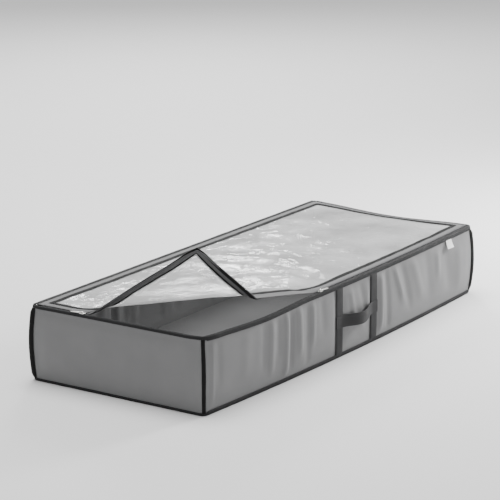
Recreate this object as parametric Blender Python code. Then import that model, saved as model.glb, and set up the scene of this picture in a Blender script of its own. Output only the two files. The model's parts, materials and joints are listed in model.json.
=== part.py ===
"""Under bed storage box: a low fabric box with a clear zipped lid, shown with one lid corner unzipped.

Metres, +Z up. The origin is under the middle of the box. +X runs along the long side, +Y points to
the hinge seam at the back. The zipper runs round the left end, the front and the right end.
"""

import math

import bmesh
import bpy
from mathutils import Matrix, Vector

MM = 0.001

# Driving dimensions
LENGTH = 1000 * MM
WIDTH = 400 * MM
WALL_TOP = 148 * MM
FRONT_BOW = 14 * MM
GAP = 0.3 * MM

# Fabric shell: depths are measured inward from the outer faces of the bindings
TAPE = 1.2 * MM
PANEL_FACE = TAPE + GAP
PANEL_THICKNESS = 2 * MM
PANEL_BACK = PANEL_FACE + PANEL_THICKNESS
CORNER_BAND = 6 * MM
BOTTOM_BAND = 8.5 * MM
BOTTOM_WRAP = 10 * MM
RIM_BAND = 7.5 * MM
RIM_WRAP = 3.7 * MM
RIM_TAPE = 1 * MM
BOTTOM_LAP = 0.3 * MM

# Lid: depths inward from the outer faces of the bindings
BOX_CHAIN = (4.0 * MM, 5.8 * MM)
LID_CHAIN = (7.8 * MM, 9.7 * MM)
CHAIN_LEVEL = (148.0 * MM, 149.9 * MM)
BORDER = (10 * MM, 27 * MM)
BORDER_LEVEL = (148.6 * MM, 149.8 * MM)
WINDOW_DEPTH = BORDER[1] + GAP
WINDOW_LEVEL = (148.9 * MM, 149.5 * MM)
WINDOW_BAND = (24 * MM, 34 * MM)
WINDOW_BAND_LEVEL = (150.1 * MM, 150.9 * MM)
HEM_EDGE = 1 * MM
HINGE_DEPTH = 0.6 * MM
HINGE_HEIGHT = 150 * MM
CREASE_HEIGHT = 151 * MM
CHAIN_END = 13 * MM
CHAIN_STOP = 3 * MM

# The lid's chain hangs below the creases, so lifting the corner swings its end towards the slider
CORNER_CHAIN_GAP = 2.8 * MM

# Unzipped corner: where the two creases leave the lid's edges, from the front left corner
CREASE_SIDE = 277 * MM
CREASE_FRONT = 182 * MM
LIFT_FRONT = 380 * MM
LIFT_ANGLE = math.radians(16.5)
FOLD_ANGLE = math.radians(48)
CREASE_GAP = 0.8 * MM

# Carry handles, one on each long side
STRAP_WIDTH = 25 * MM
STRAP_SPACING = 130 * MM
HANDLE_CENTRE = 9 * MM
GRAB_HEIGHT = 25 * MM
GRAB_LEVEL = 73 * MM
GRAB_BOW = 14 * MM
GRAB_LIFT_OFF = 0.4
GRAB_STEPS = 28

# The handles' reach past the walls is the same front and back, so only the bow moves the middle
Y_SHIFT = 0.5 * FRONT_BOW * (1 - (2 * HANDLE_CENTRE / LENGTH) ** 2)

# Zip sliders: depths are across the chain, lengths along it
SLIDER_LENGTH = 10 * MM
SLIDER_SPAN = (1.2 * MM, 6.7 * MM)
SLIDER_WEB = 0.6 * MM
SLIDER_FOOT = 4.2 * MM
SLIDER_LEVELS = (146.2 * MM, 147.6 * MM, 150.2 * MM, 151.4 * MM)
BRIDGE_DEPTH = 3.9 * MM
BRIDGE_WIDTH = 1.4 * MM
BRIDGE_REACH = 2.6 * MM
BRIDGE_POST = 1 * MM
BRIDGE_LEVELS = (151.2 * MM, 153.7 * MM, 154.5 * MM)
TAB_AXIS_HEIGHT = 152.5 * MM
TAB_END = 0.45 * MM
TAB_LENGTH = 27 * MM
TAB_WIDTH = 5 * MM
TAB_THICKNESS = 0.9 * MM
TAB_SLOT = (0.6 * MM, 4.4 * MM)
TAB_SLOT_WIDTH = 2.2 * MM
TAB_HOLE_RADIUS = 1.1 * MM
TAB_SLOPE = math.radians(3.5)
LEFT_SLIDER_PLACE = 280 * MM
FRONT_SLIDER_PLACE = 380 * MM

# Care label, hanging from the rim at the right of the front
LABEL_PLACE = 390 * MM
LABEL_WIDTH = 24 * MM
LABEL_HEIGHT = 16 * MM
LABEL_DEPTH = (0.5 * MM, 1.0 * MM)

SIDES = ("front", "right", "back", "left")
BOW_STEPS = 16
ROUND_STEPS = 8


def clear_scene():
    for item in list(bpy.data.objects):
        bpy.data.objects.remove(item, do_unlink=True)


def make_material(name, colour, roughness, metallic=0.0, alpha=1.0):
    material = bpy.data.materials.new(name)
    material.use_nodes = True
    shader = material.node_tree.nodes["Principled BSDF"]
    shader.inputs["Base Color"].default_value = (*colour, 1.0)
    shader.inputs["Roughness"].default_value = roughness
    shader.inputs["Metallic"].default_value = metallic
    shader.inputs["Alpha"].default_value = alpha
    return material


def make_object(name, vertices, faces, material):
    mesh = bpy.data.meshes.new(name)
    mesh.from_pydata([tuple(v) for v in vertices], [], faces)
    shell = bmesh.new()
    shell.from_mesh(mesh)
    bmesh.ops.recalc_face_normals(shell, faces=shell.faces)
    shell.to_mesh(mesh)
    shell.free()
    mesh.materials.append(material)
    item = bpy.data.objects.new(name, mesh)
    bpy.context.scene.collection.objects.link(item)
    return item


def bow_shift(x, y):
    """How far a point moves forward, where the long front wall bows out. The back stays straight."""
    share = max(0.0, 0.5 - y / WIDTH)
    return FRONT_BOW * share * (1 - (2 * x / LENGTH) ** 2)


def bow(item):
    """Cuts a piece across its length into short steps, and bows it with the front wall."""
    shell = bmesh.new()
    shell.from_mesh(item.data)
    for step in range(1, BOW_STEPS):
        cut = LENGTH * (step / BOW_STEPS - 0.5)
        everything = shell.verts[:] + shell.edges[:] + shell.faces[:]
        bmesh.ops.bisect_plane(shell, geom=everything, plane_co=(cut, 0, 0), plane_no=(1, 0, 0))
    for vertex in shell.verts:
        vertex.co.y += Y_SHIFT - bow_shift(vertex.co.x, vertex.co.y)
    shell.to_mesh(item.data)
    shell.free()
    return item


def bowed(x, y, z):
    """Where a point of the straight box lies once its front is bowed."""
    return Vector((x, y + Y_SHIFT - bow_shift(x, y), z))


def sweep(name, sections, material):
    """One closed solid through equal cross-sections, each a list of points in space."""
    count = len(sections[0])
    vertices = [point for section in sections for point in section]
    faces = [tuple(range(count)), tuple(range(len(vertices) - count, len(vertices)))]
    for step in range(len(sections) - 1):
        first = step * count
        for corner in range(count):
            following = (corner + 1) % count
            faces.append((first + corner, first + following,
                          first + count + following, first + count + corner))
    return make_object(name, vertices, faces, material)


def prism(name, outline, levels, material):
    """An outline in plan, extruded between two heights and bowed with the box."""
    sections = [[Vector((x, y, z)) for x, y in outline] for z in levels]
    return bow(sweep(name, sections, material))


def on_side(side, along, depth):
    """Plan position of a point a distance along a side from its middle, and a depth inside it."""
    half_length = LENGTH / 2 - depth
    half_width = WIDTH / 2 - depth
    places = {
        "front": (along, -half_width),
        "right": (half_length, along),
        "back": (-along, half_width),
        "left": (-half_length, -along),
    }
    return places[side]


def side_half(side):
    return LENGTH / 2 if side in ("front", "back") else WIDTH / 2


def mitred_strip(name, side, profile, material):
    """A strip along one side, its profile given as (depth, height), its ends mitred to its neighbours."""
    sections = []
    for end in (-1, 1):
        section = []
        for depth, height in profile:
            along = end * (side_half(side) - depth - GAP)
            section.append(Vector((*on_side(side, along, depth), height)))
        sections.append(section)
    return bow(sweep(name, sections, material))


def rectangle(low, high):
    return [(low[0], low[1]), (high[0], low[1]), (high[0], high[1]), (low[0], high[1])]


def mirror_y(outline):
    return [(x, -y) for x, y in outline]


# Fabric shell


def make_panels(fabric):
    half_length = LENGTH / 2
    half_width = WIDTH / 2
    levels = (TAPE + BOTTOM_LAP, WALL_TOP)
    long_wall = rectangle(
        (PANEL_FACE - half_length, PANEL_FACE - half_width),
        (half_length - PANEL_FACE, PANEL_BACK - half_width),
    )
    prism("front_panel", long_wall, levels, fabric)
    prism("back_panel", mirror_y(long_wall), levels, fabric)
    wall_end = half_width - PANEL_BACK - GAP
    for name, sign in (("left_panel", -1), ("right_panel", 1)):
        faces = sorted((sign * (half_length - PANEL_FACE), sign * (half_length - PANEL_BACK)))
        prism(name, rectangle((faces[0], -wall_end), (faces[1], wall_end)), levels, fabric)
    floor_x = half_length - PANEL_BACK - GAP
    floor_levels = (levels[0], levels[0] + PANEL_THICKNESS)
    floor = rectangle((-floor_x, -wall_end), (floor_x, wall_end))
    prism("bottom_panel", floor, floor_levels, fabric)


def make_corner_bindings(tape):
    """An angle of binding tape over each upright corner, between the bottom and rim bands."""
    levels = (BOTTOM_BAND + GAP, WALL_TOP - RIM_BAND - GAP)
    for name, x_sign, y_sign in (
        ("corner_binding_front_left", -1, -1),
        ("corner_binding_front_right", 1, -1),
        ("corner_binding_back_right", 1, 1),
        ("corner_binding_back_left", -1, 1),
    ):
        angle = ((0, 0), (CORNER_BAND, 0), (CORNER_BAND, TAPE),
                 (TAPE, TAPE), (TAPE, CORNER_BAND), (0, CORNER_BAND))
        outline = [(x_sign * (LENGTH / 2 - u), y_sign * (WIDTH / 2 - v)) for u, v in angle]
        prism(name, outline, levels, tape)


def make_bottom_bindings(tape):
    profile = ((0, 0), (BOTTOM_WRAP, 0), (BOTTOM_WRAP, TAPE),
               (TAPE, TAPE), (TAPE, BOTTOM_BAND), (0, BOTTOM_BAND))
    for side in SIDES:
        mitred_strip(f"bottom_binding_{side}", side, profile, tape)


def make_rim_bindings(tape):
    """The rim tape folds over the wall's top edge, except at the back, where the lid is hinged."""
    foot = WALL_TOP - RIM_BAND
    lap = WALL_TOP + GAP
    crown = lap + RIM_TAPE
    folded = ((0, foot), (TAPE, foot), (TAPE, lap), (RIM_WRAP, lap), (RIM_WRAP, crown), (0, crown))
    plain = ((0, foot), (TAPE, foot), (TAPE, WALL_TOP), (0, WALL_TOP))
    for side in SIDES:
        mitred_strip(f"rim_binding_{side}", side, plain if side == "back" else folded, tape)


def u_outline(depths, back_y):
    """The zipper's path in plan: left end, front and right end, open at the back."""
    outer, inner = depths
    x_out, y_out = LENGTH / 2 - outer, outer - WIDTH / 2
    x_in, y_in = LENGTH / 2 - inner, inner - WIDTH / 2
    return [(-x_out, back_y), (-x_out, y_out), (x_out, y_out), (x_out, back_y),
            (x_in, back_y), (x_in, y_in), (-x_in, y_in), (-x_in, back_y)]


def make_box_chain(coil, metal):
    back_y = WIDTH / 2 - CHAIN_END
    prism("zipper_chain_box", u_outline(BOX_CHAIN, back_y), CHAIN_LEVEL, coil)
    for name, sign in (("zipper_stop_left", -1), ("zipper_stop_right", 1)):
        edges = sorted((sign * (LENGTH / 2 - BOX_CHAIN[0]), sign * (LENGTH / 2 - BOX_CHAIN[1])))
        near = back_y + GAP
        stop = rectangle((edges[0], near), (edges[1], near + CHAIN_STOP))
        prism(name, stop, CHAIN_LEVEL, metal)


# Lid


def clip(outline, point, direction):
    """The part of a convex outline that lies on the side of a line that direction points to."""
    kept = []
    for start, end in zip(outline, outline[1:] + outline[:1]):
        reach = [(p[0] - point[0]) * direction[0] + (p[1] - point[1]) * direction[1] for p in (start, end)]
        if reach[0] >= 0:
            kept.append(start)
        if (reach[0] > 0) != (reach[1] > 0) and reach[0] != reach[1]:
            share = reach[0] / (reach[0] - reach[1])
            kept.append(tuple(a + (b - a) * share for a, b in zip(start, end)))
    return kept


def crease(front_reach):
    """A crease line from the left edge to the front edge: its left end and its unit direction."""
    left_end = Vector((-LENGTH / 2, CREASE_SIDE - WIDTH / 2))
    front_end = Vector((front_reach - LENGTH / 2, -WIDTH / 2))
    return left_end, (front_end - left_end).normalized()


def beyond(outline, front_reach):
    """The part of an outline on the middle's side of a crease."""
    point, run = crease(front_reach)
    away = Vector((-run.y, run.x))
    return clip(outline, point + away * CREASE_GAP, away)


def within(outline, front_reach):
    """The part of an outline on the corner's side of a crease."""
    point, run = crease(front_reach)
    toward = Vector((run.y, -run.x))
    return clip(outline, point + toward * CREASE_GAP, toward)


def lid_part(outline):
    return beyond(outline, LIFT_FRONT)


def flap_part(outline):
    return beyond(within(outline, LIFT_FRONT), CREASE_FRONT)


def corner_part(outline):
    return within(outline, CREASE_FRONT)


def frame_strip(side, depths):
    """One side of a flat frame in plan, mitred at its corners."""
    outline = []
    for depth, end in ((depths[0], -1), (depths[0], 1), (depths[1], 1), (depths[1], -1)):
        along = end * (side_half(side) - depth - GAP)
        outline.append(on_side(side, along, depth))
    return outline


def window_outline():
    reach_x = LENGTH / 2 - WINDOW_DEPTH
    reach_y = WIDTH / 2 - WINDOW_DEPTH
    return rectangle((-reach_x, -reach_y), (reach_x, reach_y))


def inner_corner(x_sign, y_sign, depth):
    return (x_sign * (LENGTH / 2 - depth), y_sign * (WIDTH / 2 - depth))


def crossing(side, depth, front_reach, away_side, gap=CREASE_GAP):
    """Where a line parallel to the left or front edge, at a depth, meets one lip of a crease."""
    point, run = crease(front_reach)
    lip = point + Vector((-run.y, run.x)) * gap * away_side
    if side == "left":
        x = depth - LENGTH / 2
        return (x, lip.y + run.y * (x - lip.x) / run.x)
    y = depth - WIDTH / 2
    return (lip.x + run.x * (y - lip.y) / run.y, y)


def lid_band(depths):
    """A flat band round the lid, from the crease at the left round the back to the one at the front."""
    outer, inner = depths
    turns = ((-1, 1), (1, 1), (1, -1))
    outline = [crossing("left", outer, LIFT_FRONT, 1)]
    outline += [inner_corner(x, y, outer) for x, y in turns]
    outline += [crossing("front", outer, LIFT_FRONT, 1), crossing("front", inner, LIFT_FRONT, 1)]
    outline += [inner_corner(x, y, inner) for x, y in reversed(turns)]
    outline.append(crossing("left", inner, LIFT_FRONT, 1))
    return outline


def flap_band(side, depths):
    """The short piece of a band between the two creases, at the left or front edge."""
    outer, inner = depths
    return [
        crossing(side, outer, LIFT_FRONT, -1),
        crossing(side, inner, LIFT_FRONT, -1),
        crossing(side, inner, CREASE_FRONT, 1),
        crossing(side, outer, CREASE_FRONT, 1),
    ]


def corner_band(depths, gap=CREASE_GAP):
    """The piece of a band that lies round the unzipped corner."""
    outer, inner = depths
    return [
        crossing("left", outer, CREASE_FRONT, -1, gap),
        inner_corner(-1, -1, outer),
        crossing("front", outer, CREASE_FRONT, -1, gap),
        crossing("front", inner, CREASE_FRONT, -1, gap),
        inner_corner(-1, -1, inner),
        crossing("left", inner, CREASE_FRONT, -1, gap),
    ]


def lid_chain_left():
    outer, inner = LID_CHAIN
    back_y = WIDTH / 2 - CHAIN_END
    return [
        crossing("left", outer, LIFT_FRONT, 1),
        crossing("left", inner, LIFT_FRONT, 1),
        (inner - LENGTH / 2, back_y),
        (outer - LENGTH / 2, back_y),
    ]


def lid_chain_right():
    outer, inner = LID_CHAIN
    back_y = WIDTH / 2 - CHAIN_END
    return [
        crossing("front", outer, LIFT_FRONT, 1),
        inner_corner(1, -1, outer),
        (LENGTH / 2 - outer, back_y),
        (LENGTH / 2 - inner, back_y),
        inner_corner(1, -1, inner),
        crossing("front", inner, LIFT_FRONT, 1),
    ]


def make_axis(name, point, direction, parent=None):
    """An empty on a joint's axis, its own X along that axis. Its pieces turn with it."""
    axis = bpy.data.objects.new(name, None)
    bpy.context.scene.collection.objects.link(axis)
    turn = Vector((1, 0, 0)).rotation_difference(direction).to_matrix().to_4x4()
    axis.matrix_world = Matrix.Translation(point) @ turn
    if parent:
        attach(parent, axis)
    bpy.context.view_layer.update()
    return axis


def attach(axis, *items):
    """Parents pieces to an axis without moving them."""
    for item in items:
        item.parent = axis
        item.matrix_parent_inverse = axis.matrix_world.inverted()


def turn(axis, angle):
    axis.matrix_basis = axis.matrix_basis @ Matrix.Rotation(angle, 4, "X")
    bpy.context.view_layer.update()


def crease_axis(name, front_reach, parent):
    left_end = bowed(-LENGTH / 2, CREASE_SIDE - WIDTH / 2, CREASE_HEIGHT)
    front_end = bowed(front_reach - LENGTH / 2, -WIDTH / 2, CREASE_HEIGHT)
    return make_axis(name, left_end, left_end - front_end, parent)


def make_lid(fabric, tape, film, coil):
    hinge = bowed(0, WIDTH / 2 - HINGE_DEPTH, HINGE_HEIGHT)
    axis = make_axis("lid_hinge_axis", hinge, Vector((-1, 0, 0)))
    for side in SIDES:
        border = lid_part(frame_strip(side, BORDER))
        attach(axis, prism(f"lid_border_{side}", border, BORDER_LEVEL, fabric))
    hem_end = LENGTH / 2 - LID_CHAIN[0]
    hem = rectangle(
        (-hem_end, WIDTH / 2 - BORDER[0] + GAP + CREASE_GAP),
        (hem_end, WIDTH / 2 - HEM_EDGE),
    )
    attach(
        axis,
        prism("lid_back_hem", hem, BORDER_LEVEL, tape),
        prism("lid_window", lid_part(window_outline()), WINDOW_LEVEL, film),
        prism("lid_window_binding", lid_band(WINDOW_BAND), WINDOW_BAND_LEVEL, tape),
        prism("lid_zipper_left", lid_chain_left(), CHAIN_LEVEL, coil),
        prism("lid_zipper_right", lid_chain_right(), CHAIN_LEVEL, coil),
    )
    return axis


def make_flap(lid_axis, fabric, tape, film, coil):
    """The narrow strip of lid between the two creases, which only tilts up."""
    axis = crease_axis("lid_flap_axis", LIFT_FRONT, lid_axis)
    attach(
        axis,
        prism("flap_border_front", flap_part(frame_strip("front", BORDER)), BORDER_LEVEL, fabric),
        prism("flap_border_side", flap_part(frame_strip("left", BORDER)), BORDER_LEVEL, fabric),
        prism("flap_window", flap_part(window_outline()), WINDOW_LEVEL, film),
        prism("flap_window_binding_front", flap_band("front", WINDOW_BAND), WINDOW_BAND_LEVEL, tape),
        prism("flap_window_binding_side", flap_band("left", WINDOW_BAND), WINDOW_BAND_LEVEL, tape),
        prism("flap_zipper", flap_band("front", LID_CHAIN), CHAIN_LEVEL, coil),
    )
    return axis


def make_corner(flap_axis, fabric, tape, film, coil):
    """The unzipped corner of the lid, folded up along the inner crease."""
    axis = crease_axis("lid_corner_axis", CREASE_FRONT, flap_axis)
    attach(
        axis,
        prism("corner_border_front", corner_part(frame_strip("front", BORDER)), BORDER_LEVEL, fabric),
        prism("corner_border_side", corner_part(frame_strip("left", BORDER)), BORDER_LEVEL, fabric),
        prism("corner_window", corner_part(window_outline()), WINDOW_LEVEL, film),
        prism("corner_window_binding", corner_band(WINDOW_BAND), WINDOW_BAND_LEVEL, tape),
        prism("corner_zipper", corner_band(LID_CHAIN, CORNER_CHAIN_GAP), CHAIN_LEVEL, coil),
    )
    return axis


# Handles and label


def make_handle(side, y_sign, tape):
    """Two upright straps, and a grab strap across them that bows away from the wall."""
    outer = WIDTH / 2
    levels = (BOTTOM_BAND + GAP, WALL_TOP - RIM_BAND - GAP)
    for name, sign in (("left", -1), ("right", 1)):
        centre = HANDLE_CENTRE + sign * STRAP_SPACING / 2
        low = (centre - STRAP_WIDTH / 2, outer - TAPE)
        high = (centre + STRAP_WIDTH / 2, outer)
        outline = [(x, y_sign * y) for x, y in rectangle(low, high)]
        prism(f"handle_strap_{side}_{name}", outline, levels, tape)
    span = STRAP_SPACING + STRAP_WIDTH
    sections = []
    for step in range(GRAB_STEPS + 1):
        along = (step / GRAB_STEPS - 0.5) * span
        inner = outer + GAP + grab_bow(along)
        section = [
            Vector((HANDLE_CENTRE + along, y_sign * y, GRAB_LEVEL + rise))
            for y, rise in (
                (inner, -GRAB_HEIGHT / 2),
                (inner + TAPE, -GRAB_HEIGHT / 2),
                (inner + TAPE, GRAB_HEIGHT / 2),
                (inner, GRAB_HEIGHT / 2),
            )
        ]
        sections.append(section)
    grab = bow(sweep(f"grab_strap_{side}", sections, tape))
    middle = bowed(HANDLE_CENTRE, y_sign * outer, GRAB_LEVEL)
    pull = make_axis(f"grab_{side}_axis", middle, Vector((0, y_sign, 0)))
    attach(pull, grab)


def grab_bow(along):
    """How far the grab strap stands off, from flat on the upright straps to its middle."""
    free = (STRAP_SPACING - STRAP_WIDTH) / 2 + STRAP_WIDTH * GRAB_LIFT_OFF
    if abs(along) >= free:
        return 0
    return GRAB_BOW * (0.5 + 0.5 * math.cos(math.pi * along / free))


def make_label(cloth):
    centre = LABEL_PLACE
    top = WALL_TOP - RIM_BAND - GAP
    outline = rectangle(
        (centre - LABEL_WIDTH / 2, LABEL_DEPTH[0] - WIDTH / 2),
        (centre + LABEL_WIDTH / 2, LABEL_DEPTH[1] - WIDTH / 2),
    )
    prism("care_label", outline, (top - LABEL_HEIGHT, top), cloth)


# Zip sliders


def combine(item, operation, *tools):
    for tool in tools:
        tool.hide_render = True
        tool.display_type = "WIRE"
        modifier = item.modifiers.new(tool.name, "BOOLEAN")
        modifier.operation = operation
        modifier.object = tool


def make_slider(side, centre, run, material):
    """A slider hooked over the box's half of the zipper. run is 1 or -1, the way its tab lies."""
    shift = bow_offset(side, centre)

    def place(along, depth, height):
        return Vector((*on_side(side, centre + run * along, depth), height)) + shift

    foot, under, deck, top = SLIDER_LEVELS
    outer, inner = SLIDER_SPAN
    hook = (
        (outer, deck), (outer, top), (inner, top), (inner, foot),
        (SLIDER_FOOT, foot), (SLIDER_FOOT, under),
        (inner - SLIDER_WEB, under), (inner - SLIDER_WEB, deck),
    )
    half = SLIDER_LENGTH / 2
    ends = [[place(end, depth, height) for depth, height in hook] for end in (-half, half)]
    body = sweep(f"zip_slider_{side}", ends, material)
    sunk, under_bar, crown = BRIDGE_LEVELS
    leg = BRIDGE_REACH - BRIDGE_POST
    arch = (
        (-BRIDGE_REACH, sunk), (-leg, sunk), (-leg, under_bar), (leg, under_bar),
        (leg, sunk), (BRIDGE_REACH, sunk), (BRIDGE_REACH, crown), (-BRIDGE_REACH, crown),
    )
    faces = [BRIDGE_DEPTH - BRIDGE_WIDTH / 2, BRIDGE_DEPTH + BRIDGE_WIDTH / 2]
    bridge = sweep(
        f"bridge_tool_{side}",
        [[place(along, depth, height) for along, height in arch] for depth in faces],
        material,
    )
    combine(body, "UNION", bridge)
    track = make_axis(f"zip_slider_{side}_axis", place(0, BRIDGE_DEPTH, deck), along_vector(side, run))
    attach(track, body, bridge)
    return track


def bow_offset(side, centre):
    """How a rigid piece at the rim moves as the box bows."""
    point = on_side(side, centre, BRIDGE_DEPTH)
    return bowed(*point, 0) - Vector((*point, 0))


def along_vector(side, run):
    start = Vector(on_side(side, 0, 0))
    end = Vector(on_side(side, run, 0))
    return Vector((*(end - start), 0)).normalized()


def make_pull_tab(side, centre, run, slider_axis, material):
    """A flat tab whose cross bar lies under the slider's bridge. It slopes down to the rim."""
    rise = math.sin(TAB_SLOPE)
    level = math.cos(TAB_SLOPE)
    shift = bow_offset(side, centre)

    def place(along, depth, height):
        forward = along * level + height * rise
        lift = height * level - along * rise
        point = on_side(side, centre + run * forward, BRIDGE_DEPTH + depth)
        return Vector((*point, TAB_AXIS_HEIGHT + lift)) + shift

    def slab(name, outline, half_height):
        levels = (-half_height, half_height)
        return sweep(name, [[place(a, d, z) for a, d in outline] for z in levels], material)

    radius = TAB_WIDTH / 2
    centre_of_end = TAB_LENGTH - radius
    outline = [(-TAB_END, radius), (-TAB_END, -radius)]
    for step in range(ROUND_STEPS + 1):
        angle = math.pi * (step / ROUND_STEPS - 0.5)
        outline.append((centre_of_end + radius * math.cos(angle), radius * math.sin(angle)))
    tab = slab(f"pull_tab_{side}", outline, TAB_THICKNESS / 2)
    slot = rectangle((TAB_SLOT[0], -TAB_SLOT_WIDTH / 2), (TAB_SLOT[1], TAB_SLOT_WIDTH / 2))
    hole = []
    for step in range(2 * ROUND_STEPS):
        angle = math.pi * step / ROUND_STEPS
        hole.append((centre_of_end + TAB_HOLE_RADIUS * math.cos(angle), TAB_HOLE_RADIUS * math.sin(angle)))
    tools = (
        slab(f"slot_tool_{side}", slot, TAB_THICKNESS),
        slab(f"hole_tool_{side}", hole, TAB_THICKNESS),
    )
    combine(tab, "DIFFERENCE", *tools)
    bar = place(0, 0, 0)
    across = along_vector(side, run).cross(Vector((0, 0, 1)))
    axis = make_axis(f"pull_tab_{side}_axis", bar, across, slider_axis)
    attach(axis, tab, *tools)


def build():
    clear_scene()
    fabric = make_material("grey_fabric", (0.165, 0.165, 0.165), 0.85)
    tape = make_material("binding_tape", (0.032, 0.032, 0.034), 0.8)
    film = make_material("clear_film", (0.86, 0.88, 0.88), 0.12, alpha=0.25)
    coil = make_material("zipper_coil", (0.03, 0.03, 0.032), 0.5)
    metal = make_material("nickel", (0.62, 0.61, 0.59), 0.28, metallic=1.0)
    label = make_material("label_cloth", (0.82, 0.82, 0.8), 0.7)

    make_panels(fabric)
    make_corner_bindings(tape)
    make_bottom_bindings(tape)
    make_rim_bindings(tape)
    make_box_chain(coil, metal)
    make_handle("front", -1, tape)
    make_handle("back", 1, tape)
    make_label(label)

    lid_axis = make_lid(fabric, tape, film, coil)
    flap_axis = make_flap(lid_axis, fabric, tape, film, coil)
    corner_axis = make_corner(flap_axis, fabric, tape, film, coil)
    turn(flap_axis, LIFT_ANGLE)
    turn(corner_axis, FOLD_ANGLE)

    sliders = (
        ("left", WIDTH / 2 - LEFT_SLIDER_PLACE, -1),
        ("front", FRONT_SLIDER_PLACE - LENGTH / 2, 1),
    )
    for side, centre, run in sliders:
        slider_axis = make_slider(side, centre, run, metal)
        make_pull_tab(side, centre, run, slider_axis, metal)


build()
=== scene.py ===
"""The look of the under bed storage box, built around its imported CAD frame.

Metres, +Z up. Most pieces are first laid out on a straight box, in depths measured inward from its
outer faces, and then bowed with the front wall. The lid is laid out flat, and then folded to rest.
"""

import json
import math

import bmesh
import bpy
from mathutils import Matrix, Vector, noise


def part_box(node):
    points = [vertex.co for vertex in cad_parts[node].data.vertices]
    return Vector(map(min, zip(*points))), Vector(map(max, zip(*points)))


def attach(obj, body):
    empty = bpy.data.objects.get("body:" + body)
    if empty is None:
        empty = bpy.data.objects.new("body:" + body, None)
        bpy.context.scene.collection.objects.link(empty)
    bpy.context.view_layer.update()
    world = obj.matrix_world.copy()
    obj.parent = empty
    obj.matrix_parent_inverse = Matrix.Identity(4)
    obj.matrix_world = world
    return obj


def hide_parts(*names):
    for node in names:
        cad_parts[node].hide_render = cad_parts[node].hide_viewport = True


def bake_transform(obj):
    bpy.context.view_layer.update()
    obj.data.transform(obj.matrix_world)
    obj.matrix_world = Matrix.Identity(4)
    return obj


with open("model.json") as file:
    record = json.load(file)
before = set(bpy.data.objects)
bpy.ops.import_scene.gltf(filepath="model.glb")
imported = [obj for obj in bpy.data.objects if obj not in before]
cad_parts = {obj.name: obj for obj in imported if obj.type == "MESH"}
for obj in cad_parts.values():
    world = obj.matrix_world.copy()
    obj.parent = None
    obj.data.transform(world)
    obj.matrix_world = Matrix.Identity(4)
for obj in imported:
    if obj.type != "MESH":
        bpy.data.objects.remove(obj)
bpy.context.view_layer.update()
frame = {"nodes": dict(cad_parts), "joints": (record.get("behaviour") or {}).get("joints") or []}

MM = 0.001

# The box, as in the CAD part
LENGTH = 1000 * MM
WIDTH = 400 * MM
WALL_TOP = 148 * MM
FRONT_BOW = 14 * MM
Y_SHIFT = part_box("rim_binding_back")[1].y - WIDTH / 2
ROUND = 12 * MM
SMALL_ROUND = 2.5 * MM
STEP = 6 * MM
ARC_STEPS = 6

# Bands, as depth and height
PANEL_DEPTH = 1.7 * MM
PANEL_THICKNESS = 1.4 * MM
RIM_BAND = 7.5 * MM
BOTTOM_BAND = 8.5 * MM
CORNER_BAND = 6.0 * MM
RIM_CROWN = 149.3 * MM

# The share by which the left end's bands are slimmer
LEFT_SLIMMING = 0.35

# Slack of the rim where the lid is unzipped
RIM_SLACK = 5.0 * MM
LID_SLACK = 4.0 * MM
SLACK_REACH = 42 * MM
SAG_SPAN = (-0.48, -0.15)
RIM_SAG = 3.5 * MM
RIM_OUT = 3.0 * MM

# How far the upright corners stand out half way up, by the signs of x and y
CORNER_OUT = {
    (-1.0, -1.0): 1.5 * MM,
    (1.0, -1.0): 7 * MM,
    (1.0, 1.0): 5 * MM,
    (-1.0, 1.0): 5.5 * MM,
}
CORNER_OUT_REACH = 110 * MM

# The closed end of the lid and rim dips between its corners
RIGHT_SAG = 7 * MM

# Handles
HANDLE_CENTRE = 9 * MM
STRAP_SPACING = 130 * MM
STRAP_WIDTH = 25 * MM
GRAB_LEVEL = 73 * MM
GRAB_BOW = 14 * MM

# Lid
LID_LEVEL = 149.2 * MM
TOOTH_PITCH = 2.2 * MM

SIDES = ("front", "right", "back", "left")
LONG_SIDES = (("front", -1), ("back", 1))


def smooth(t):
    t = min(1.0, max(0.0, t))
    return t * t * (3 - 2 * t)


def ripple(x, y, z, size, seed=0.0):
    """Smooth noise from about -1 to 1, with features of about a size."""
    return noise.noise(Vector((x / size + seed, y / size - seed, z / size + 0.37 * seed)))


def bowed(point):
    """Where a point of the straight box lies once its front is bowed."""
    share = max(0.0, 0.5 - point.y / WIDTH)
    shift = FRONT_BOW * share * (1 - (2 * point.x / LENGTH) ** 2)
    return Vector((point.x, point.y + Y_SHIFT - shift, point.z))


def right_sag(x, y):
    """How far the rim and the lid dip at the middle of the right end."""
    near = 1 - smooth((LENGTH / 2 - x) / (80 * MM))
    share = min(1.0, max(0.0, (y + WIDTH / 2) / WIDTH))
    return RIGHT_SAG * near * math.sin(math.pi * share) ** 2


def drawn_in(point, slack):
    """How far a point draws in, along x and along y, near the open corner."""
    return slack * (1 - smooth(math.hypot(point.x + LENGTH / 2, point.y + WIDTH / 2) / SLACK_REACH))


def laid(point):
    """Where a point of the flat lid lies, before its loose corner is folded."""
    slack = drawn_in(point, LID_SLACK)
    return bowed(Vector((point.x + slack, point.y + slack, point.z - right_sag(point.x, point.y))))


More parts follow.
